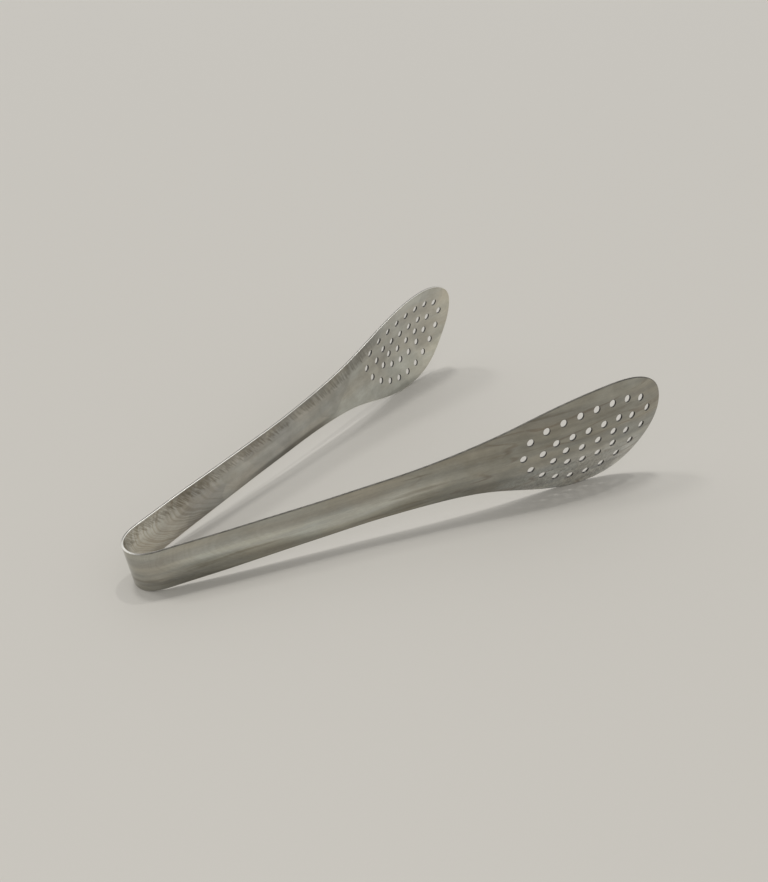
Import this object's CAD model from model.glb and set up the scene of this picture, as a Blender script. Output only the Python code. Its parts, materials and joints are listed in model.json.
"""Sprung ice tongs: one strip of stainless sheet, folded at the middle into an open bow and
widened at both ends into a dished, pierced paddle.

The strip is built in lengths, so that it can bend where the real one does. Every length comes
from the same description of the sheet: how far along the strip (a distance, in mm, zero where
the bow meets the arm and negative round the bow), how far up across it (a height, in mm) and
how far out from its middle surface.
"""

import json
import math

import bpy
import numpy as np
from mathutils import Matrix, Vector
from mathutils.geometry import delaunay_2d_cdt


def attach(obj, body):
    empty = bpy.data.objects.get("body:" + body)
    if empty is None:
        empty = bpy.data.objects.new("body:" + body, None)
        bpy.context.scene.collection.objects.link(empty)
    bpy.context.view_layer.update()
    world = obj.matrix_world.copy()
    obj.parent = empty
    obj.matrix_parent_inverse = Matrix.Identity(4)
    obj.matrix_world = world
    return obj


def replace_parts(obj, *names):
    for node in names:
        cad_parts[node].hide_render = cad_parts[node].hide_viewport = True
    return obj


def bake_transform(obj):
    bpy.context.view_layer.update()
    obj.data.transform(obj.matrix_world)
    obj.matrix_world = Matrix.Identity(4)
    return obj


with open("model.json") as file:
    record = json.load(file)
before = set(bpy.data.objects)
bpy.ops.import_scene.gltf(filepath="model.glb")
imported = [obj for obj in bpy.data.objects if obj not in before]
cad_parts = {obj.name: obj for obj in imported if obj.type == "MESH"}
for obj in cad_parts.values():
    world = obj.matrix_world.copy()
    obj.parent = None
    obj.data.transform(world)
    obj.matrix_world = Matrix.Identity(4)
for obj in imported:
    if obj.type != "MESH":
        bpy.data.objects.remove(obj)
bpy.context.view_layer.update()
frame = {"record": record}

# ---------------------------------------------------------------- sizes of the strip, in mm
MM = 0.001
RAIL_SEAT = next(m for m in frame["record"]["mounts"] if m["name"] == "rail_seat")
SHEET = 0.9
HALF = SHEET / 2
CROWN_RADIUS = RAIL_SEAT["dims"]["r_mm"] + HALF
FLANK_RADIUS = 18.0 + HALF
CROWN_END = 180 - 56.0  # where the crown's arc ends, as a direction from its centre
ARM_SPREAD = 15.3  # angle between each arm and the centre plane, in degrees
ARM_LENGTH = 239.8  # from the end of the bow to the tip
LEG_LENGTH = 27.0  # from the end of the bow to the first line where an arm bends
ROOT_LENGTH = 53.0  # from the first line of bending to the second
PADDLE = 90.0  # the pressed and pierced end of each arm
HANDLE = ARM_LENGTH - 1.61 * PADDLE
HALF_STRIP = 10.0
HALF_WAIST = 9.65
PADDLE_RISE = 5.2  # how far the paddle's crest swings out beyond the straight handle
PADDLE_TOP = 24.65
PADDLE_BELLY = 26.95
TIP_HEIGHT = 6.3
TRIM = 2.2  # sheet beyond the tip before the outline is cut
HANDLE_HOLLOW = 95.0  # the radius to which the handle is rolled, hollow on its outer face
NECK_DISH, MIDDLE_DISH, TIP_DISH = 52.0, 63.0, 72.0  # and the paddle, the other way
DISH_EASING = 0.24  # share of the dish's curve that is lost towards the rim
HOLE = 3.5
RIM_ROUND = 0.28  # the outline's cut edges are tumbled to this radius
HOLE_ROUND = 0.1

# Where one length of the strip ends and the next begins.
BOW_END, ROOT_END, GRIP_END = 12.0, 53.0, 115.0


def from_tip(share):
    """A place on the straight arm, this share of the paddle short of the tip."""
    return ARM_LENGTH - share * PADDLE


def unit(vectors):
    return vectors / np.linalg.norm(vectors, axis=-1, keepdims=True)


# ---------------------------------------------------------------- smooth lines
def smooth_line(points, start=None, end=None, closed=False, step=0.05):
    """A fine polyline on the smoothest cubic through these points, and its running length.
    start and end say how fast and which way an open line sets off and arrives, for each mm of
    chord, and step is the spacing of the polyline."""
    knots = np.array(points, float)
    if closed:
        knots = np.vstack([knots, knots[:1]])
    gaps = np.linalg.norm(np.diff(knots, axis=0), axis=1)
    last = len(knots) - 1
    matrix = np.zeros((last + 1, last + 1))
    wanted = np.zeros_like(knots)
    for i in range(1, last):
        before, after = gaps[i - 1], gaps[i]
        matrix[i, i - 1 : i + 2] = after, 2 * (before + after), before
        wanted[i] = 3 * (
            after / before * (knots[i] - knots[i - 1])
            + before / after * (knots[i + 1] - knots[i])
        )
    if closed:
        matrix[0, 0], matrix[0, last] = 1, -1
        matrix[last, [0, 1, last - 1, last]] = (
            2 * gaps[-1], gaps[-1], gaps[0], 2 * gaps[0],
        )
        wanted[last] = 3 * (
            gaps[-1] / gaps[0] * (knots[1] - knots[0])
            + gaps[0] / gaps[-1] * (knots[-1] - knots[-2])
        )
    else:
        matrix[0, 0] = matrix[last, last] = 1
        wanted[0], wanted[last] = start, end
    slopes = np.linalg.solve(matrix, wanted)
    pieces = []
    for i, gap in enumerate(gaps):
        s = np.arange(0, 1, step / gap)[:, None]
        pieces.append(
            (1 + 2 * s) * (1 - s) ** 2 * knots[i]
            + s * (1 - s) ** 2 * gap * slopes[i]
            + s * s * (3 - 2 * s) * knots[i + 1]
            + s * s * (s - 1) * gap * slopes[i + 1]
        )
    line = np.vstack([*pieces, knots[-1:]])
    run = np.concatenate([[0], np.cumsum(np.linalg.norm(np.diff(line, axis=0), axis=1))])
    return line, run


def along(line, run, distance):
    """Points of a fine line at these running lengths."""
    distance = np.asarray(distance, float)
    return np.stack([np.interp(distance, run, column) for column in line.T], axis=-1)


# The ridge is the strip's middle line beyond the bow: straight handle, swing, curled tip.
# It sets off and arrives as the CAD's own line does, and so do the edges below.
ridge, ridge_run = smooth_line(
    [
        (0, 0),
        (0.63 * HANDLE, -0.02 * PADDLE_RISE),
        (from_tip(1.33), 0.25 * PADDLE_RISE),
        (from_tip(0.89), 0.72 * PADDLE_RISE),
        (from_tip(0.5), PADDLE_RISE),
        (from_tip(0.22), 0.74 * PADDLE_RISE),
        (ARM_LENGTH + TRIM, -0.19 * PADDLE_RISE),
    ],
    start=(1.0143, 0),
    end=(0.8196, -0.2663),
)
ridge_heading = np.gradient(ridge, ridge_run, axis=0)
RIDGE_TIP = ridge_run[-1] - TRIM


def back_from_tip(share):
    """A distance along the strip, this share of the paddle short of the tip."""
    return RIDGE_TIP - share * PADDLE


# The blank's upper and lower edge, over the arm's own straight length, and how far each of
# them swells beyond the handle's waist.
RISE, FALL = PADDLE_TOP - HALF_WAIST, PADDLE_BELLY - HALF_WAIST
top_edge, top_run = smooth_line(
    [
        (0, HALF_STRIP),
        (0.79 * HANDLE, HALF_WAIST),
        (from_tip(1.33), HALF_WAIST + 0.11 * RISE),
        (from_tip(1), HALF_WAIST + 0.37 * RISE),
        (from_tip(0.667), HALF_WAIST + 0.787 * RISE),
        (from_tip(0.39), HALF_WAIST + RISE),
        (from_tip(0.144), HALF_WAIST + 0.865 * RISE),
        (from_tip(0.039), HALF_WAIST + 0.47 * RISE),
        (ARM_LENGTH, TIP_HEIGHT),
    ],
    start=(1.0308, 0),
    end=(0, -1.1389),
)
belly_edge, belly_run = smooth_line(
    [
        (0, -HALF_STRIP),
        (0.79 * HANDLE, -HALF_WAIST),
        (from_tip(1.33), -HALF_WAIST - 0.078 * FALL),
        (from_tip(1), -HALF_WAIST - 0.331 * FALL),
        (from_tip(0.778), -HALF_WAIST - 0.689 * FALL),
        (from_tip(0.5), -HALF_WAIST - FALL),
        (from_tip(0.227), -HALF_WAIST - 0.76 * FALL),
        (from_tip(0.063), -HALF_WAIST + 0.02 * FALL),
        (ARM_LENGTH, TIP_HEIGHT),
    ],
    start=(1.0265, 0),
    end=(0, 1.1207),
)

# How sharply the sheet is rolled across its width, by distance along the strip. A positive
# curve brings both edges in.
ROLL = np.array(
    [
        (0, 0),
        (0.31 * HANDLE, -1 / HANDLE_HOLLOW),
        (0.65 * HANDLE, -1 / HANDLE_HOLLOW),
        (back_from_tip(1.61), 0),
        (back_from_tip(1.06), 1 / NECK_DISH),
        (back_from_tip(0.44), 1 / MIDDLE_DISH),
        (ridge_run[-1], 1 / TIP_DISH),
    ]
)

# The bow: the crown's arc about the rail, then an easier arc on each flank.
turn_crown = math.radians(180 - CROWN_END)
turn_flank = math.radians(CROWN_END - 90 - ARM_SPREAD)
FLANK_RUN = FLANK_RADIUS * turn_flank
CROWN_RUN = CROWN_RADIUS * turn_crown
BOW_MIDDLE = -FLANK_RUN - CROWN_RUN


def facing(degrees):
    """The direction at this angle, seen from above, with the tips at 0."""
    angle = np.radians(degrees)
    return np.stack([np.cos(angle), np.sin(angle)], axis=-1)


flank_centre = (CROWN_RADIUS - FLANK_RADIUS) * facing(CROWN_END)
arm_start = flank_centre + FLANK_RADIUS * facing(90 + ARM_SPREAD)
arm_ahead, arm_outwards = facing(ARM_SPREAD), facing(90 + ARM_SPREAD)


def middle_line(distance):
    """Places on the strip's middle line and the way out from it, seen from above."""
    d = np.asarray(distance, float)
    turned = np.degrees(-d / FLANK_RADIUS)
    flank_way = facing(90 + ARM_SPREAD + np.clip(turned, 0, None))
    crown_way = facing(CROWN_END + np.degrees((-d - FLANK_RUN) / CROWN_RADIUS))
    place = along(ridge, ridge_run, d)
    heading = unit(along(ridge_heading, ridge_run, d))
    arm_way = heading[..., :1] * arm_outwards - heading[..., 1:] * arm_ahead
    arm_place = arm_start + place[..., :1] * arm_ahead + place[..., 1:] * arm_outwards
    on_flank = ((d < 0) & (d >= -FLANK_RUN))[..., None]
    on_crown = (d < -FLANK_RUN)[..., None]
    way = np.where(on_crown, crown_way, np.where(on_flank, flank_way, arm_way))
    centre_place = np.where(
        on_flank, flank_centre + FLANK_RADIUS * way, CROWN_RADIUS * way
    )
    return np.where(on_flank | on_crown, centre_place, arm_place), way


def drop(distance, height):
    """How far the rolled or dished sheet falls inwards away from its middle line."""
    d = np.asarray(distance, float)
    i = np.clip(np.searchsorted(ROLL[:, 0], d) - 1, 0, len(ROLL) - 2)
    share = np.clip((d - ROLL[i, 0]) / (ROLL[i + 1, 0] - ROLL[i, 0]), 0, 1)
    eased = (1 - np.cos(np.pi * share)) / 2
    curve = ROLL[i, 1] + (ROLL[i + 1, 1] - ROLL[i, 1]) * eased
    return curve * height**2 / 2 * (1 - DISH_EASING * (height / PADDLE_BELLY) ** 2)


def sheet_point(distance, height, out):
    """Points of the left side of the strip, in mm about the rail's centre."""
    place, way = middle_line(distance)
    flat = place + way * (out - drop(distance, height))[..., None]
    return np.concatenate([flat, np.asarray(height, float)[..., None]], axis=-1)


def sheet_normal(distance, height, out):
    """Unit normals of the skin at this depth, pointing out of the tongs."""
    step = 0.05
    ahead = sheet_point(distance + step, height, out) - sheet_point(distance - step, height, out)
    up = sheet_point(distance, height + step, out) - sheet_point(distance, height - step, out)
    return unit(np.cross(up, ahead))


def distance_of(length, height):
    """The distance along the strip of a place on the blank, given along the straight arm."""
    length = np.asarray(length, float)
    d = length.copy()
    rounds_to_settle = 6
    for _ in range(rounds_to_settle):
        place = along(ridge, ridge_run, d)
        heading = along(ridge_heading, ridge_run, d)
        d = d + length - (place[..., 0] + heading[..., 1] * drop(d, height))
    return d


def edge_heights(distance):
    """Heights of the strip's lower and upper edge at these distances."""
    d = np.asarray(distance, float)
    flat = np.clip(along(ridge, ridge_run, d)[..., 0], 0, None)
    low = np.interp(flat, belly_edge[:, 0], belly_edge[:, 1])
    high = np.interp(flat, top_edge[:, 0], top_edge[:, 1])
    return low, high


# ---------------------------------------------------------------- into the frame
seat = np.array(RAIL_SEAT["pos_m"])
across_strip = np.array(RAIL_SEAT["axis"])
across_strip = across_strip / np.linalg.norm(across_strip)
to_the_left = np.array([0.0, 1.0, 0.0])
to_the_tips = np.cross(to_the_left, across_strip)
strip_axes = np.stack([to_the_tips, to_the_left, across_strip])


def in_frame(points, side):
    """Points in mm about the rail, on the left (side 1) or right (side -1), in the frame."""
    return seat + (points * (1, side, 1)) @ strip_axes * MM


def turned_in_frame(vectors, side):
    """Directions on the left or right side, in the frame."""
    return (vectors * (1, side, 1)) @ strip_axes


# ---------------------------------------------------------------- mesh of one length of strip
ROUND_STEPS = 4
COLUMNS = 16  # faces across a skin of the handle
SKIN, TUMBLED_EDGE, PIERCED_WALL = range(3)  # the order of each piece's finishes


def rim_profile(radius):
    """A rounded cut edge in section, from the outer skin to the inner one. Its columns: how
    far in from the edge, how far out from the middle surface, and how much it faces away
    from the edge and away from the sheet."""
    angle = np.linspace(0, math.pi / 2, ROUND_STEPS + 1)
    inset, out = radius * (1 - np.sin(angle)), HALF - radius * (1 - np.cos(angle))
    outer_half = np.stack([inset, out, np.sin(angle), np.cos(angle)], axis=1)
    return np.vstack([outer_half, outer_half[::-1] * (1, -1, 1, -1)])


OUTLINE_RIM = rim_profile(RIM_ROUND)
HOLE_RIM = rim_profile(HOLE_ROUND)


def add_piece(name, side, points, normals, places, from_edge, pierced, faces):
    """A closed mesh from points about the rail, with its own normals. Each point also keeps
    what the finish follows: its place on the strip, how far it is from the strip's edge and
    how squarely it faces into a pierced hole."""
    mesh = bpy.data.meshes.new(name)
    faces = faces if side > 0 else [face[::-1] for face in faces]
    mesh.from_pydata(in_frame(points, side).tolist(), [], faces)
    mesh.shade_smooth()
    place = mesh.attributes.new("strip_place", "FLOAT_VECTOR", "POINT")
    place.data.foreach_set("vector", (places * MM).astype(np.float32).ravel())
    for label, values in (
        ("strip_side", np.full(len(points), side)),
        ("from_edge", from_edge * MM),
        ("pierced", pierced),
    ):
        kept = mesh.attributes.new(label, "FLOAT", "POINT")
        kept.data.foreach_set("value", values.astype(np.float32))
    mesh.normals_split_custom_set_from_vertices(unit(turned_in_frame(normals, side)).tolist())
    # The rounded rims are all of their rings but the ones that lie in the two skins.
    on_wall = pierced > 0.2
    on_rim = from_edge < 0.99 * RIM_ROUND
    for polygon in mesh.polygons:
        corners = list(polygon.vertices)
        if on_wall[corners].any():
            polygon.material_index = PIERCED_WALL
        elif on_rim[corners].any():
            polygon.material_index = TUMBLED_EDGE
        else:
            polygon.material_index = SKIN
    piece = bpy.data.objects.new(name, mesh)
    bpy.context.scene.collection.objects.link(piece)
    return piece


def half_section(low, high):
    """The outer half of the strip's section, from its lower edge's middle to its upper
    edge's: heights, outs, and how much each point faces up and away from the sheet."""
    rim = OUTLINE_RIM[1 : ROUND_STEPS + 1]
    skin = np.linspace(low + RIM_ROUND, high - RIM_ROUND, COLUMNS + 1)
    flat = np.ones(COLUMNS + 1)
    heights = np.concatenate([low + rim[::-1, 0], skin, high - rim[:, 0]])
    outs = np.concatenate([rim[::-1, 1], flat * HALF, rim[:, 1]])
    upwards = np.concatenate([-rim[::-1, 2], flat * 0, rim[:, 2]])
    outwards = np.concatenate([rim[::-1, 3], flat, rim[:, 3]])
    return heights, outs, upwards, outwards


def plain_length(name, side, start, end, spacing):
    """A closed length of plain strip between two distances."""
    count = round((end - start) / spacing)
    distances = np.linspace(start, end, count + 1)
    points, normals, places, from_edge = [], [], [], []
    for distance, low, high in zip(distances, *edge_heights(distances)):
        heights, outs, upwards, outwards = half_section(low, high)
        heights = np.concatenate([heights, heights[::-1]])
        outs = np.concatenate([outs, -outs[::-1]])
        upwards = np.concatenate([upwards, upwards[::-1]])
        outwards = np.concatenate([outwards, -outwards[::-1]])
        here = np.full(len(heights), distance)
        skin = sheet_normal(here, heights, outs)
        points.append(sheet_point(here, heights, outs))
        normals.append(skin * outwards[:, None] + np.outer(upwards, (0, 0, 1)))
        places.append(np.stack([here, heights, outs], axis=1))
        from_edge.append(np.minimum(high - heights, heights - low))
    ring = len(points[0])
    faces = []
    for i in range(count):
        near, far = i * ring, (i + 1) * ring
        for j in range(ring):
            k = (j + 1) % ring
            faces.append((near + j, near + k, far + k, far + j))
    faces += end_cap(range(ring // 2), range(ring - 1, ring // 2 - 1, -1), ahead=False)
    last = count * ring
    outer = range(last, last + ring // 2)
    inner = range(last + ring - 1, last + ring // 2 - 1, -1)
    faces += end_cap(outer, inner, ahead=True)
    from_edge = np.concatenate(from_edge)
    stacked = [np.vstack(rows) for rows in (points, normals, places)]
    return add_piece(name, side, *stacked, from_edge, np.zeros(len(from_edge)), faces)


def end_cap(outer, inner, ahead):
    """Rungs between the outer and the inner half of a section, both from low to high."""
    rungs = list(zip(outer, inner))
    faces = [(a, b, d, c) for (a, c), (b, d) in zip(rungs, rungs[1:])]
    return faces if ahead else [face[::-1] for face in faces]


# ---------------------------------------------------------------- mesh of a paddle
SKIN_SPACING = 1.4
EDGE_SPACING = 0.8
HOLE_SIDES = 36


def blank_edge():
    """The paddle's cut edge as distances and heights: along its belly, round the tip and
    back along the top."""
    low, high = edge_heights(np.array([GRIP_END]))
    halves = []
    for line, run in ((belly_edge, belly_run), (top_edge, top_run)):
        count = round(run[-1] / EDGE_SPACING)
        edge = along(line, run, np.linspace(0, run[-1], count + 1))
        edge[:, 0] = distance_of(edge[:, 0], edge[:, 1])
        halves.append(edge[edge[:, 0] > GRIP_END + EDGE_SPACING / 2])
    belly, top = halves
    return np.vstack([(GRIP_END, low[0]), belly, top[-2::-1], (GRIP_END, high[0])])


def ring_of_holes(margin, centre, middle, tilt, sag, lean, count):
    """Equally spaced holes round an egg-shaped ring that keeps this margin to the paddle's
    edge. Its own middle line is tilted and sags between its ends, and its upper side leans
    towards the bow."""
    half_length = centre * PADDLE - margin
    half_height = (PADDLE_TOP + PADDLE_BELLY) / 2 - margin
    knots = 24
    angle = np.linspace(0, 2 * math.pi, knots, endpoint=False)
    ahead, across = -np.cos(angle), np.sin(angle)
    distance = back_from_tip(centre) + half_length * ahead - lean * across
    height = half_height * across + middle + tilt * ahead + sag * ahead**2
    ring, run = smooth_line(np.stack([distance, height], axis=1), closed=True)
    return along(ring, run, np.arange(count) / count * run[-1])


# The row of four holes inside the smaller ring: distances along the strip, and heights.
MIDDLE_ROW = ((184.92, -1.3), (193.64, -2.2), (202.34, -1.0), (210.93, 0.9))
HOLES = np.vstack(
    [
        ring_of_holes(
            margin=9.0, centre=0.482, middle=-2.25, tilt=3.4, sag=6.2, lean=3.75, count=19
        ),
        ring_of_holes(
            margin=18.2, centre=0.478, middle=-1.9, tilt=2.2, sag=4.4, lean=1.7, count=13
        ),
        MIDDLE_ROW,
    ]
)


def inside(loop, points):
    """Which points lie inside a closed loop."""
    found = np.zeros(len(points), bool)
    for (x1, y1), (x2, y2) in zip(loop, np.roll(loop, -1, axis=0)):
        crosses = (y1 > points[:, 1]) != (y2 > points[:, 1])
        with np.errstate(divide="ignore", invalid="ignore"):
            reach = x1 + (points[:, 1] - y1) * (x2 - x1) / (y2 - y1)
        found ^= crosses & (points[:, 0] < reach)
    return found


def skin_grid(loop, holes):
    """Places inside the loop and between the holes, in staggered rows, none of them close
    enough to an edge to make a sliver."""
    (left, low), (right, high) = loop.min(axis=0), loop.max(axis=0)
    rows = []
    for i, height in enumerate(np.arange(low, high, SKIN_SPACING * math.sqrt(0.75))):
        row = np.arange(left + (i % 2) * SKIN_SPACING / 2, right, SKIN_SPACING)
        rows.append(np.stack([row, np.full(len(row), height)], axis=1))
    grid = np.vstack(rows)
    grid = grid[inside(loop, grid)]
    for place in loop:
        grid = grid[np.linalg.norm(grid - place, axis=1) > 0.7 * SKIN_SPACING]
    for place in holes:
        grid = grid[np.linalg.norm(grid - place, axis=1) > HOLE / 2 + 0.75 * SKIN_SPACING]
    return grid


class PaddlePoints:
    """The paddle's points as they are made, each with its normal and its place."""

    def __init__(self):
        self.points, self.normals, self.places, self.pierced = [], [], [], []

    def add(self, place, out, facing_edge, edgeways, outwards, on_hole=0.0):
        """Points at these places and depths, facing partly away from the cut edge. Returns
        their numbers."""
        out = np.full(len(place), out)
        skin = sheet_normal(place[:, 0], place[:, 1], out)
        start = sum(map(len, self.points))
        self.points.append(sheet_point(place[:, 0], place[:, 1], out))
        self.normals.append(skin * outwards + facing_edge * edgeways)
        self.places.append(np.column_stack([place, out]))
        self.pierced.append(np.full(len(place), on_hole * edgeways))
        return list(range(start, start + len(place)))


def outline_rim(made, edge, inwards):
    """The outline's rounded edge: rings of points from the outer skin to the inner one."""
    middle = sheet_point(edge[:, 0], edge[:, 1], np.zeros(len(edge)))
    way = np.column_stack([middle_line(edge[:, 0])[1], np.zeros(len(edge))])
    outline_facing = unit(np.cross(way, np.gradient(middle, axis=0)))
    outline_facing[0], outline_facing[-1] = (0, 0, -1), (0, 0, 1)
    rings = [
        made.add(edge + inwards * inset, out, outline_facing, edgeways, outwards)
        for inset, out, edgeways, outwards in OUTLINE_RIM
    ]
    faces = []
    for near, far in zip(rings, rings[1:]):
        for i in range(len(edge) - 1):
            faces.append((near[i], near[i + 1], far[i + 1], far[i]))
    return rings, faces


def hole_wall(made, centre, circle):
    """A hole's wall, square to the sheet, and the loop that it cuts in the skins."""
    d, h = centre[None, 0], centre[None, 1]
    zero = np.zeros(1)
    step = 0.25
    on_ahead = (sheet_point(d + step, h, zero) - sheet_point(d - step, h, zero))[0] / (2 * step)
    on_up = (sheet_point(d, h + step, zero) - sheet_point(d, h - step, zero))[0] / (2 * step)
    normal = sheet_normal(d, h, zero)[0]
    way = np.append(middle_line(d)[1][0], 0)
    slide = np.linalg.solve(np.column_stack([on_ahead, on_up, way]), normal)
    slide = slide[:2] / slide[2]
    stretch = np.array([np.linalg.norm(on_ahead), np.linalg.norm(on_up)])
    towards_centre = -(circle[:, :1] * unit(on_ahead) + circle[:, 1:] * unit(on_up))
    loop = centre + circle * (HOLE / 2 + HOLE_ROUND) / stretch
    rings = []
    for inset, out, edgeways, outwards in HOLE_RIM:
        place = centre + slide * out + circle * (HOLE / 2 + inset) / stretch
        rings.append(made.add(place, out, towards_centre, edgeways, outwards, on_hole=1.0))
    faces = []
    for near, far in zip(rings, rings[1:]):
        for i in range(HOLE_SIDES):
            j = (i + 1) % HOLE_SIDES
            faces.append((near[i], far[i], far[j], near[j]))
    return loop, rings, faces


def skin_net(outer_loop, hole_loops):
    """A net of triangles between the loops: the grid of places that it adds inside, and the
    triangles by their corners' numbers, the loops' points first and then the grid's."""
    grid = skin_grid(outer_loop, HOLES)
    net = np.vstack([outer_loop, *hole_loops, grid])
    seams, start = [], 0
    for loop in (outer_loop, *hole_loops):
        count = len(loop)
        seams += [(start + i, start + (i + 1) % count) for i in range(count)]
        start += count
    only_inside_seams, same_place = 1, 1e-6
    _, _, triangles, sources, _, _ = delaunay_2d_cdt(
        [Vector(place) for place in net], seams, [], only_inside_seams, same_place
    )
    hole_of = np.full(len(net), -1)
    for i in range(len(hole_loops)):
        first = len(outer_loop) + i * HOLE_SIDES
        hole_of[first : first + HOLE_SIDES] = i
    kept = []
    for triangle in triangles:
        corners = [sources[i][0] for i in triangle]
        holes = {hole_of[i] for i in corners}
        fills_a_hole = len(holes) == 1 and holes != {-1}
        if not fills_a_hole:
            kept.append(corners)
    return grid, kept


def pierced_length(name, side):
    """The pierced paddle with the last of the handle: two skins, a rounded cut edge all
    round, 36 hole walls and a square end at the handle."""
    made = PaddlePoints()
    edge = blank_edge()
    ahead = np.gradient(edge, axis=0)
    inwards = unit(np.stack([-ahead[:, 1], ahead[:, 0]], axis=1))
    inwards[0], inwards[-1] = (0, 1), (0, -1)
    rim, faces = outline_rim(made, edge, inwards)

    turn = np.arange(HOLE_SIDES) * 2 * math.pi / HOLE_SIDES
    circle = np.stack([np.cos(turn), np.sin(turn)], axis=1)
    hole_loops, hole_rims = [], []
    for centre in HOLES:
        loop, rings, wall = hole_wall(made, centre, circle)
        hole_loops.append(loop)
        hole_rims.append(rings)
        faces += wall

    # Both skins share one net of triangles between the loops.
    columns = np.linspace(edge[-1, 1] - RIM_ROUND, edge[0, 1] + RIM_ROUND, COLUMNS + 1)[1:-1]
    neck = np.stack([np.full(len(columns), GRIP_END), columns], axis=1)
    grid, triangles = skin_net(np.vstack([edge + inwards * RIM_ROUND, neck]), hole_loops)
    no_edge = np.zeros((1, 3))
    skins = []
    for index, out in ((0, HALF), (-1, -HALF)):
        outwards = 1 if out > 0 else -1
        known = list(rim[index])
        known += made.add(neck, out, no_edge, 0, outwards)
        for rings in hole_rims:
            known += rings[index]
        known += made.add(grid, out, no_edge, 0, outwards)
        skins.append(known)
    outer_skin, inner_skin = skins
    for corners in triangles:
        faces.append(tuple(outer_skin[i] for i in reversed(corners)))
        faces.append(tuple(inner_skin[i] for i in corners))

    def neck_half(skin, rings):
        """Half of the square end's outline, from low to high."""
        low_rim = [ring[0] for ring in rings]
        high_rim = [ring[-1] for ring in rings]
        across = skin[len(edge) : len(edge) + len(neck)][::-1]
        return low_rim[::-1] + across + high_rim

    outer = neck_half(outer_skin, rim[: ROUND_STEPS + 1])
    inner = neck_half(inner_skin, rim[: ROUND_STEPS : -1])
    faces += end_cap(outer, inner, ahead=False)

    points, normals, places = map(np.vstack, (made.points, made.normals, made.places))
    from_edge = np.full(len(places), np.inf)
    for place in edge:
        from_edge = np.minimum(from_edge, np.linalg.norm(places[:, :2] - place, axis=1))
    pierced = np.concatenate(made.pierced)
    return add_piece(name, side, points, normals, places, from_edge, pierced, faces)


def bent_length(name, side, length, stands_for):
    """A length of plain strip that bends about a line across it."""
    start, end, spacing, line, reach = length
    piece = plain_length(name, side, start, end, spacing)
    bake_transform(piece)
    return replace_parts(piece, *stands_for)


# Each length's two ends, the spacing of its faces, the line where it bends, and how far that
# bend is spread to either side of the line.
BOW = (BOW_MIDDLE, BOW_END, 0.6, -FLANK_RUN, CROWN_RUN)
ROOT = (BOW_END, ROOT_END, 1.0, LEG_LENGTH, 12.0)
GRIP = (ROOT_END, GRIP_END, 1.2, LEG_LENGTH + ROOT_LENGTH, 20.0)


lengths = []
for hand, side in (("left", 1), ("right", -1)):
    leg, root_body, arm = f"{hand}_leg", f"{hand}_root", f"{hand}_arm"
    leg_node, root_node, grip_node = f"bow_leg_{hand}", f"arm_root_{hand}", f"arm_grip_{hand}"
    bow = bent_length(f"bow_{hand}", side, BOW, ("bow_crown", leg_node))
    root = bent_length(f"root_{hand}", side, ROOT, (leg_node, root_node))
    grip = bent_length(f"grip_{hand}", side, GRIP, (root_node, grip_node))
    paddle = pierced_length(f"pierced_paddle_{hand}", side)
    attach(paddle, arm)
    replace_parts(paddle, grip_node, f"paddle_{hand}")
    lengths += [bow, root, grip, paddle]


# ---------------------------------------------------------------- tools for the finishes
# In a finish, a place on the strip is in metres: the distance along it, the height up it and
# how far out through it. A share runs from 0, not at all, to 1, wholly. A tint multiplies the
# red, green and blue of a colour.
def new_material(name):
    material = bpy.data.materials.new(name)
    material.use_nodes = True
    nodes = material.node_tree.nodes
    nodes.clear()
    shader = nodes.new("ShaderNodeBsdfPrincipled")
    output = nodes.new("ShaderNodeOutputMaterial")
    material.node_tree.links.new(shader.outputs["BSDF"], output.inputs["Surface"])
    return material, shader


def new_group(name, inputs, outputs):
    """A shader node group with these named inputs, and these named values put out."""
    group = bpy.data.node_groups.new(name, "ShaderNodeTree")
    for label, kind in inputs:
        group.interface.new_socket(label, in_out="INPUT", socket_type=kind)
    for label in outputs:
        group.interface.new_socket(label, in_out="OUTPUT", socket_type="NodeSocketFloat")
    return group, group.nodes.new("NodeGroupInput"), group.nodes.new("NodeGroupOutput")


def placed(tree, group):
    """A group placed in a material."""
    node = tree.nodes.new("ShaderNodeGroup")
    node.node_tree = group
    return node


def connect(tree, source, target):
    tree.links.new(source, target)


def attribute(tree, name, output="Fac"):
    node = tree.nodes.new("ShaderNodeAttribute")
    node.attribute_name = name
    return node.outputs[output]


def separated(tree, vector):
    node = tree.nodes.new("ShaderNodeSeparateXYZ")
    connect(tree, vector, node.inputs[0])
    return node.outputs


def combined(tree, *values):
    """A vector of up to three sockets; what isn't given is 0."""
    node = tree.nodes.new("ShaderNodeCombineXYZ")
    for value, socket in zip(values, node.inputs):
        connect(tree, value, socket)
    return node.outputs[0]


def math_node(tree, operation, *values):
    """A Math node; each value is a number or another node's socket."""
    node = tree.nodes.new("ShaderNodeMath")
    node.operation = operation
    for value, socket in zip(values, node.inputs):
        if isinstance(value, (int, float)):
            socket.default_value = value
        else:
            connect(tree, value, socket)
    return node.outputs[0]


def added(tree, first, *others):
    for other in others:
        first = math_node(tree, "ADD", first, other)
    return first


def scaled(tree, first, *others):
    for other in others:
        first = math_node(tree, "MULTIPLY", first, other)
    return first


def between(tree, share, none, whole):
    """A number that goes from none to whole as the share goes from 0 to 1."""
    return math_node(tree, "MULTIPLY_ADD", share, whole - none, none)


def faded(tree, value, low, high):
    """0 at low, 1 at high and eased between; low may be the greater of the two."""
    node = tree.nodes.new("ShaderNodeMapRange")
    node.interpolation_type = "SMOOTHSTEP"
    node.inputs["From Min"].default_value = low
    node.inputs["From Max"].default_value = high
    connect(tree, value, node.inputs["Value"])
    return node.outputs["Result"]


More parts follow.
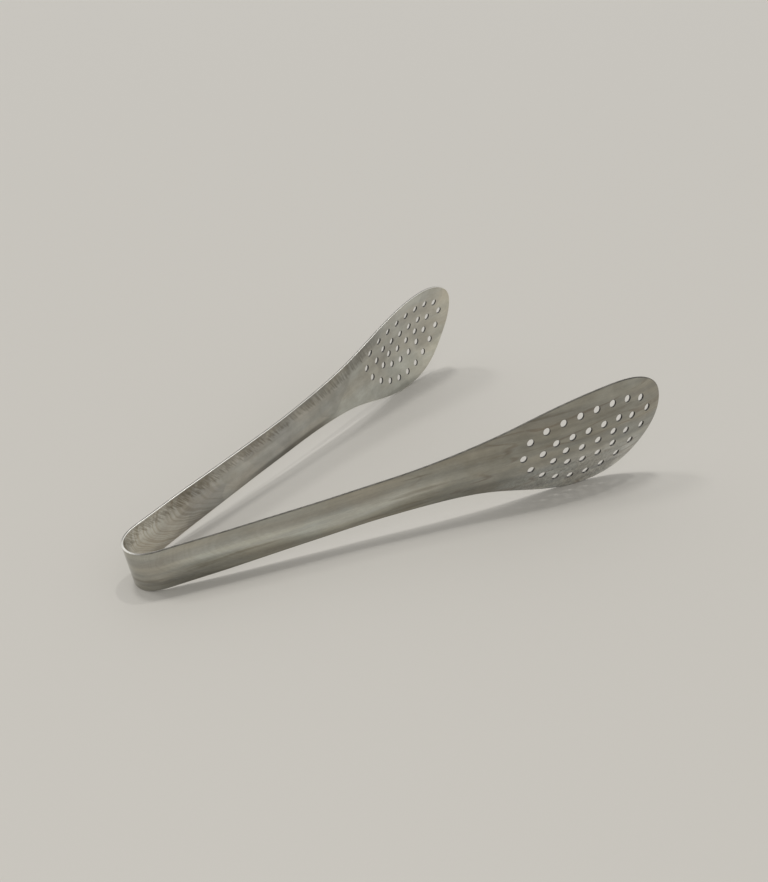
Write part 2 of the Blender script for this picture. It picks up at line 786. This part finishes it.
def noise_node(tree, place, detail=2.0, roughness=0.5):
    """Noise with one feature or so in each unit of the place."""
    node = tree.nodes.new("ShaderNodeTexNoise")
    node.inputs["Scale"].default_value = 1.0
    node.inputs["Detail"].default_value = detail
    node.inputs["Roughness"].default_value = roughness
    connect(tree, place, node.inputs["Vector"])
    return node.outputs["Fac"]


def stretched(tree, place, scale):
    """The place times a scale, which is a vector or another node's socket."""
    node = tree.nodes.new("ShaderNodeVectorMath")
    node.operation = "MULTIPLY"
    connect(tree, place, node.inputs[0])
    if isinstance(scale, tuple):
        node.inputs[1].default_value = scale
    else:
        connect(tree, scale, node.inputs[1])
    return node.outputs[0]


def mixed(tree, share, first, second):
    """A colour between two others; each is a colour or another node's socket."""
    node = tree.nodes.new("ShaderNodeMix")
    node.data_type = "RGBA"
    connect(tree, share, node.inputs[0])
    for value, socket in ((first, node.inputs[6]), (second, node.inputs[7])):
        if isinstance(value, tuple):
            socket.default_value = (*value, 1)
        else:
            connect(tree, value, socket)
    return node.outputs[2]


def tinted(tree, share, colour, tint):
    """The colour multiplied by a tint, as far as share says."""
    result = mixed(tree, share, colour, tint)
    result.node.blend_type = "MULTIPLY"
    return result


def relief(tree, shader, height):
    """A bump, for a height of which 1 stands for a tenth of a millimetre."""
    bump = tree.nodes.new("ShaderNodeBump")
    bump.inputs["Distance"].default_value = 0.0001
    connect(tree, height, bump.inputs["Height"])
    connect(tree, bump.outputs["Normal"], shader.inputs["Normal"])


# ---------------------------------------------------------------- the marks of polishing
class StripNoise:
    """Noise that is laid along and across the strip, in a node group. The strip's two sides
    are shifted so far apart that they don't show the same marks."""

    def __init__(self, group, place, side):
        self.group = group
        self.place = place
        self.distance, self.height, _ = separated(group, place)
        self.side_shift = scaled(group, side, 13.7)

    def spread(self, along, across, seed, place=None):
        """Places on the strip, to be seen as this many units a metre along and across."""
        shift = self.group.nodes.new("ShaderNodeCombineXYZ")
        connect(self.group, self.side_shift, shift.inputs[1])
        shift.inputs[2].default_value = seed
        node = self.group.nodes.new("ShaderNodeVectorMath")
        node.operation = "MULTIPLY_ADD"
        connect(self.group, self.place if place is None else place, node.inputs[0])
        node.inputs[1].default_value = (along, across, 0)
        connect(self.group, shift.outputs[0], node.inputs[2])
        return node.outputs[0]

    def marks(self, along, across, seed, detail, roughness=0.5, place=None):
        """Noise with this many marks a metre along and across."""
        return noise_node(self.group, self.spread(along, across, seed, place), detail, roughness)


def veins(noise, smudges):
    """The thin lines along which slow bands change over, broken by the smudges."""
    group = noise.group
    bands = noise.marks(13, 80, seed=12.1, detail=2)
    from_vein = math_node(group, "ABSOLUTE", added(group, bands, -0.5))
    return scaled(group, faded(group, from_vein, 0.026, 0.003), faded(group, smudges, 0.40, 0.56))


def patches(noise):
    """Cells of one tone each, with narrow soft seams."""
    group = noise.group
    cells = group.nodes.new("ShaderNodeTexVoronoi")
    cells.feature = "SMOOTH_F1"
    cells.inputs["Scale"].default_value = 1.0
    cells.inputs["Smoothness"].default_value = 0.12
    connect(group, noise.spread(48, 70, seed=9.3), cells.inputs["Vector"])
    return faded(group, cells.outputs["Color"], 0.35, 0.65)


def teeth(noise, from_edge):
    """Slanting strokes that reach in from the upper edge, all the way from the bow to the
    paddle: fine along the handle, coarser and longer at the neck."""
    group, distance, height = noise.group, noise.distance, noise.height
    slanted = combined(group, math_node(group, "MULTIPLY_ADD", height, 0.7, distance), height)
    fine = noise.marks(2300, 260, seed=6.4, detail=2, roughness=0.6, place=slanted)
    coarse = noise.marks(820, 60, seed=6.9, detail=3, roughness=0.7, place=slanted)
    by_neck = faded(group, distance, 0.080, 0.110)
    coarser = math_node(group, "SUBTRACT", coarse, fine)
    stroke = math_node(group, "MULTIPLY_ADD", by_neck, coarser, fine)
    reach = noise.marks(26, 0, seed=8.8, detail=2)
    inset = added(
        group,
        from_edge,
        scaled(group, stroke, -0.016),
        scaled(group, reach, -0.007),
        scaled(group, faded(group, distance, 0.100, 0.135), -0.0028),
    )
    return scaled(
        group,
        between(group, faded(group, stroke, 0.42, 0.56), 0.35, 1.0),
        faded(group, inset, -0.0060, -0.0076),
        faded(group, height, 0.001, 0.004),
        faded(group, distance, 0.176, 0.156),
    )


def ripples(noise):
    """Bowed lines round the bend beside the bow, narrow by the crown and wider along the arm,
    which reach nearest to the bow a little above mid-height: their tone and their relief."""
    group, distance, height = noise.group, noise.distance, noise.height
    wander = noise.marks(50, 60, seed=7.5, detail=2)
    above = added(group, height, -0.004)
    bowed = scaled(group, above, above, -87.0)
    from_bow = added(group, distance, scaled(group, wander, 0.010), bowed, 0.012)
    beyond_crown = math_node(group, "MAXIMUM", from_bow, 0.003)
    widening = math_node(group, "LOGARITHM", beyond_crown, math.e)
    turned = combined(group, scaled(group, widening, 15.0), scaled(group, height, 40.0))
    lines = noise_node(group, turned)
    by_bow = scaled(
        group, faded(group, distance, 0.066, 0.026), faded(group, distance, -0.034, -0.016)
    )
    tone = scaled(group, faded(group, lines, 0.56, 0.40), by_bow)
    return tone, scaled(group, lines, by_bow)


def polishing_group():
    """What rolling, bending and polishing leave on the sheet. Streaks, dark lines and wavy
    veins run along the strip; smudges, patches, a slow drift of tone and a fine grain lie
    anywhere; teeth reach in from its upper edge; ripples follow the bend beside the bow; and
    the sheet itself has slow waves."""
    group, start, end = new_group(
        "polishing",
        (
            ("Place", "NodeSocketVector"),
            ("Side", "NodeSocketFloat"),
            ("From Edge", "NodeSocketFloat"),
        ),
        (
            "Streaks", "Dark Lines", "Veins", "Smudges", "Drift", "Patches", "Grain", "Teeth",
            "Ripples", "Height",
        ),
    )
    noise = StripNoise(group, start.outputs["Place"], start.outputs["Side"])
    brushed = noise.marks(60, 3500, seed=1.3, detail=3)
    grain = noise.marks(420, 1300, seed=1.9, detail=3, roughness=0.7)
    streaks = noise.marks(9, 260, seed=2.1, detail=4)
    dark_lines = noise.marks(14, 190, seed=3.7, detail=5)
    drift = noise.marks(40, 95, seed=11.2, detail=3)
    smudges = noise.marks(90, 130, seed=4.9, detail=5)
    waves = noise.marks(80, 55, seed=5.2, detail=1)
    edge_teeth = teeth(noise, start.outputs["From Edge"])
    ripple_tone, ripple_relief = ripples(noise)
    surface = added(
        group,
        scaled(group, brushed, 0.03),
        scaled(group, waves, 0.5),
        scaled(group, edge_teeth, 0.02),
        scaled(group, ripple_relief, 0.12),
    )
    for label, value in (
        ("Streaks", faded(group, streaks, 0.32, 0.68)),
        ("Dark Lines", faded(group, dark_lines, 0.40, 0.30)),
        ("Veins", veins(noise, smudges)),
        ("Smudges", faded(group, smudges, 0.35, 0.65)),
        ("Drift", faded(group, drift, 0.38, 0.62)),
        ("Patches", patches(noise)),
        ("Grain", faded(group, grain, 0.30, 0.70)),
        ("Teeth", edge_teeth),
        ("Ripples", ripple_tone),
        ("Height", surface),
    ):
        connect(group, value, end.inputs[label])
    return group


# ---------------------------------------------------------------- the sheet's two faces
OUTER_TONE = (0.348, 0.348, 0.322)
INNER_TONE = (0.424, 0.422, 0.395)


class Skin:
    """Where a point of the sheet's faces lies, as the shares that the tones go by."""

    def __init__(self, tree):
        self.tree = tree
        self.place = attribute(tree, "strip_place", "Vector")
        self.distance, self.height, out = separated(tree, self.place)
        self.from_edge = attribute(tree, "from_edge")
        self.inner = faded(tree, out, 0.0002, -0.0002)
        self.outer = faded(tree, out, -0.0002, 0.0002)
        self.on_handle = self.along(0.138, 0.106)
        self.on_paddle = self.along(0.085, 0.142)

    def along(self, none, whole):
        """A share that goes from 0 to 1 between two distances along the strip."""
        return faded(self.tree, self.distance, none, whole)

    def up(self, none, whole):
        """A share that goes from 0 to 1 between two heights."""
        return faded(self.tree, self.height, none, whole)

    def all_of(self, *shares):
        return scaled(self.tree, *shares)


def outer_tones(skin):
    """The outer face: a darker paddle, a duller upper half, a cleaner tip, and along the
    handle a lighter band, with a dark strip under it. The band sinks as it leaves the bow, and
    rises again towards the neck."""
    tree, outer = skin.tree, skin.outer
    from_lowest = math_node(tree, "ABSOLUTE", added(tree, skin.distance, -0.075))
    sunk = math_node(tree, "MULTIPLY_ADD", from_lowest, -0.09, added(tree, skin.height, 0.00135))
    band_top, band_foot = faded(tree, sunk, 0.005, -0.002), faded(tree, sunk, -0.008, -0.005)
    under_band = faded(tree, sunk, -0.0036, -0.0054)
    off_bow = skin.along(-0.006, 0.020)
    upper_half = skin.all_of(outer, skin.up(0.0, 0.004), skin.along(0.045, 0.075))
    return [
        (skin.all_of(outer, skin.on_paddle), (0.785, 0.78, 0.765)),
        (upper_half, (0.92, 0.905, 0.88)),
        (skin.all_of(outer, skin.along(0.190, 0.225)), (1.12, 1.13, 1.15)),
        (skin.all_of(outer, off_bow, skin.on_handle, band_top, band_foot), (1.37, 1.42, 1.47)),
        (skin.all_of(outer, off_bow, skin.on_handle, under_band), (0.75, 0.74, 0.71)),
    ]


def inner_tones(skin):
    """The inner face: bright beside the bow, a greyer paddle that is palest low down and at
    its tip, and a dark line along the handle's lower edge."""
    inner = skin.inner
    lower_edge = skin.all_of(
        inner,
        skin.along(0.050, 0.080),
        skin.on_handle,
        faded(skin.tree, skin.from_edge, 0.0040, 0.0020),
        skin.up(0.0, -0.004),
    )
    low_on_paddle = skin.all_of(inner, skin.on_paddle, skin.up(-0.006, -0.016))
    return [
        (skin.all_of(inner, skin.along(0.030, 0.0)), (1.50, 1.49, 1.47)),
        (skin.all_of(inner, skin.on_paddle), (1.045, 1.055, 1.04)),
        (low_on_paddle, (1.10, 1.11, 1.10)),
        (skin.all_of(inner, skin.along(0.210, 0.238)), (1.20, 1.17, 1.12)),
        (lower_edge, (0.46, 0.45, 0.43)),
    ]


def polish_tones(skin, mark):
    """The marks of polishing, on the faces and stretches where each one shows."""
    tree, inner, outer = skin.tree, skin.inner, skin.outer
    mostly_outer, mostly_inner = between(tree, outer, 0.35, 1.0), between(tree, inner, 0.25, 1.0)
    calmer_handle = between(tree, skin.all_of(outer, skin.on_handle), 1.0, 0.4)
    return [
        (skin.all_of(mark["Streaks"], mostly_outer), (1.25, 1.24, 1.20)),
        (skin.all_of(mark["Dark Lines"], mostly_outer), (0.74, 0.715, 0.685)),
        (skin.all_of(mark["Smudges"], calmer_handle), (1.17, 1.18, 1.20)),
        (skin.all_of(mark["Veins"], outer, skin.on_paddle), (0.78, 0.735, 0.71)),
        (mark["Drift"], (1.03, 0.998, 0.965)),
        (mark["Grain"], (1.10, 1.10, 1.10)),
        (skin.all_of(mark["Patches"], inner), (0.88, 0.88, 0.89)),
        (skin.all_of(mark["Teeth"], inner), (0.63, 0.61, 0.58)),
        (skin.all_of(mark["Ripples"], mostly_inner), (0.80, 0.77, 0.73)),
    ]


def polished_skin(polishing):
    """The sheet's two faces, with the marks of polishing. The outer one is olive and its
    paddle's belly is frosted to a pale grey with darker specks. The inner one is cleaner."""
    material, shader = new_material("polished_skin")
    tree = material.node_tree
    skin = Skin(tree)
    polish = placed(tree, polishing)
    connect(tree, skin.place, polish.inputs["Place"])
    connect(tree, attribute(tree, "strip_side"), polish.inputs["Side"])
    connect(tree, skin.from_edge, polish.inputs["From Edge"])
    mark = polish.outputs

    belly = skin.all_of(
        skin.outer, skin.along(0.135, 0.180), skin.along(0.240, 0.205), skin.up(-0.001, -0.014)
    )
    specks = noise_node(tree, stretched(tree, skin.place, (650, 650, 0)), detail=3)
    frost = [
        (belly, (1.90, 1.95, 2.09)),
        (skin.all_of(belly, faded(tree, specks, 0.4, 0.6)), (0.80, 0.80, 0.80)),
    ]
    colour = mixed(tree, skin.inner, OUTER_TONE, INNER_TONE)
    for share, tint in outer_tones(skin) + inner_tones(skin) + polish_tones(skin, mark) + frost:
        colour = tinted(tree, share, colour, tint)
    roughness = added(
        tree,
        scaled(tree, mark["Smudges"], 0.06),
        0.035,
        scaled(tree, mark["Teeth"], skin.inner, 0.08),
        scaled(tree, belly, 0.22),
    )
    connect(tree, colour, shader.inputs["Base Color"])
    connect(tree, roughness, shader.inputs["Roughness"])
    relief(tree, shader, mark["Height"])
    shader.inputs["Metallic"].default_value = 1.0
    return material


# ---------------------------------------------------------------- cut metal
EDGE_DARK = (0.12, 0.115, 0.100)
EDGE_LIGHT = (0.20, 0.191, 0.168)
DEBURRED = (0.96, 0.94, 0.88)
WALL_DARK = (0.06, 0.058, 0.054)
WALL_LIGHT = (0.12, 0.116, 0.108)


def cut_grain_group():
    """The grain of cut metal. Its fineness is in grains a metre along, up and through the
    sheet."""
    group, start, end = new_group(
        "cut_grain",
        (("Place", "NodeSocketVector"), ("Fineness", "NodeSocketVector")),
        ("Light", "Height"),
    )
    fine_place = stretched(group, start.outputs["Place"], start.outputs["Fineness"])
    grain = noise_node(group, fine_place, detail=3)
    connect(group, faded(group, grain, 0.35, 0.65), end.inputs["Light"])
    connect(group, scaled(group, grain, 0.1), end.inputs["Height"])
    return group


def cut_metal(name, cut_grain, fineness, dark, light, smooth, rough):
    """A cut metal that varies between two tones and two roughnesses. Returns the material and
    its shader, and the colour and roughness, which aren't connected to the shader yet."""
    material, shader = new_material(name)
    tree = material.node_tree
    grain = placed(tree, cut_grain)
    grain.inputs["Fineness"].default_value = fineness
    connect(tree, attribute(tree, "strip_place", "Vector"), grain.inputs["Place"])
    colour = mixed(tree, grain.outputs["Light"], dark, light)
    roughness = between(tree, grain.outputs["Light"], smooth, rough)
    relief(tree, shader, grain.outputs["Height"])
    shader.inputs["Metallic"].default_value = 1.0
    return material, shader, colour, roughness


def tumbled_edge(cut_grain):
    """The outline's rounded edge. Its inner corner, and all of it round the crown, is
    deburred to a brighter and smoother metal."""
    fineness = (400, 400, 1500)
    material, shader, colour, roughness = cut_metal(
        "tumbled_edge", cut_grain, fineness, EDGE_DARK, EDGE_LIGHT, smooth=0.42, rough=0.50
    )
    tree = material.node_tree
    distance, _, out = separated(tree, attribute(tree, "strip_place", "Vector"))
    corner = faded(tree, out, -0.00016, -0.00024)
    crown = faded(tree, distance, -0.004, -0.016)
    bright = math_node(tree, "MAXIMUM", corner, crown)
    colour = mixed(tree, bright, colour, DEBURRED)
    roughness = math_node(tree, "MULTIPLY_ADD", bright, -0.10, roughness)
    connect(tree, colour, shader.inputs["Base Color"])
    connect(tree, roughness, shader.inputs["Roughness"])
    return material


def pierced_wall(cut_grain):
    """The walls of the drain holes, darker and rougher than the outline."""
    fineness = (1600, 1600, 500)
    material, shader, colour, roughness = cut_metal(
        "pierced_wall", cut_grain, fineness, WALL_DARK, WALL_LIGHT, smooth=0.40, rough=0.55
    )
    tree = material.node_tree
    connect(tree, colour, shader.inputs["Base Color"])
    connect(tree, roughness, shader.inputs["Roughness"])
    return material


cut_grain = cut_grain_group()
finishes = {
    SKIN: polished_skin(polishing_group()),
    TUMBLED_EDGE: tumbled_edge(cut_grain),
    PIERCED_WALL: pierced_wall(cut_grain),
}
for piece in lengths:
    for index in sorted(finishes):
        piece.data.materials.append(finishes[index])

# ---------------------------------------------------------------- floor, light and camera
FLOOR_WIDTH = 16.0  # in metres, so that it reaches far beyond the tongs
FLOOR_TONE = (0.58, 0.555, 0.505)
ROOM_LIGHT = 0.6  # even white light from all round

bpy.ops.mesh.primitive_plane_add(size=FLOOR_WIDTH)
floor = bpy.context.object
floor.name = "floor"
paint, paint_shader = new_material("pale_floor")
paint_shader.inputs["Base Color"].default_value = (*FLOOR_TONE, 1)
paint_shader.inputs["Roughness"].default_value = 0.6
floor.data.materials.append(paint)

world = bpy.data.worlds.new("studio")
bpy.context.scene.world = world
world.use_nodes = True
background = world.node_tree.nodes["Background"]
background.inputs["Color"].default_value = (1, 1, 1, 1)
background.inputs["Strength"].default_value = ROOM_LIGHT


def far_lamp(name, towards_lamp, strength, width):
    """Even light from far off in this direction, from a source this many degrees wide."""
    light = bpy.data.lights.new(name, "SUN")
    light.energy = strength
    light.angle = math.radians(width)
    lamp = bpy.data.objects.new(name, light)
    lamp.location = towards_lamp
    lamp.rotation_euler = Vector(towards_lamp).to_track_quat("Z", "Y").to_euler()
    bpy.context.scene.collection.objects.link(lamp)


far_lamp("ceiling_row", (0.03, 0.27, 1.0), strength=0.6, width=8)
far_lamp("ceiling_spot", (0.36, 0.12, 1.0), strength=0.3, width=2)
far_lamp("window", (-0.35, 0.55, 0.9), strength=0.35, width=10)

# The camera stands by the bow, to the right of the tongs, and looks down along them. Its place
# is in metres, its turn in degrees about X, Y and Z, and its lens and sensor in mm.
camera = bpy.data.objects.new("camera", bpy.data.cameras.new("camera"))
camera.location = (-0.19557, -0.24582, 0.21728)
camera.rotation_euler = [math.radians(a) for a in (52.9838, -1.0006, -39.4526)]
camera.data.lens = 32.185
camera.data.sensor_width = 36
camera.data.shift_y = 0.0844
camera.data.clip_start = 0.01
bpy.context.scene.collection.objects.link(camera)
bpy.context.scene.camera = camera
bpy.context.scene.view_settings.view_transform = "Standard"
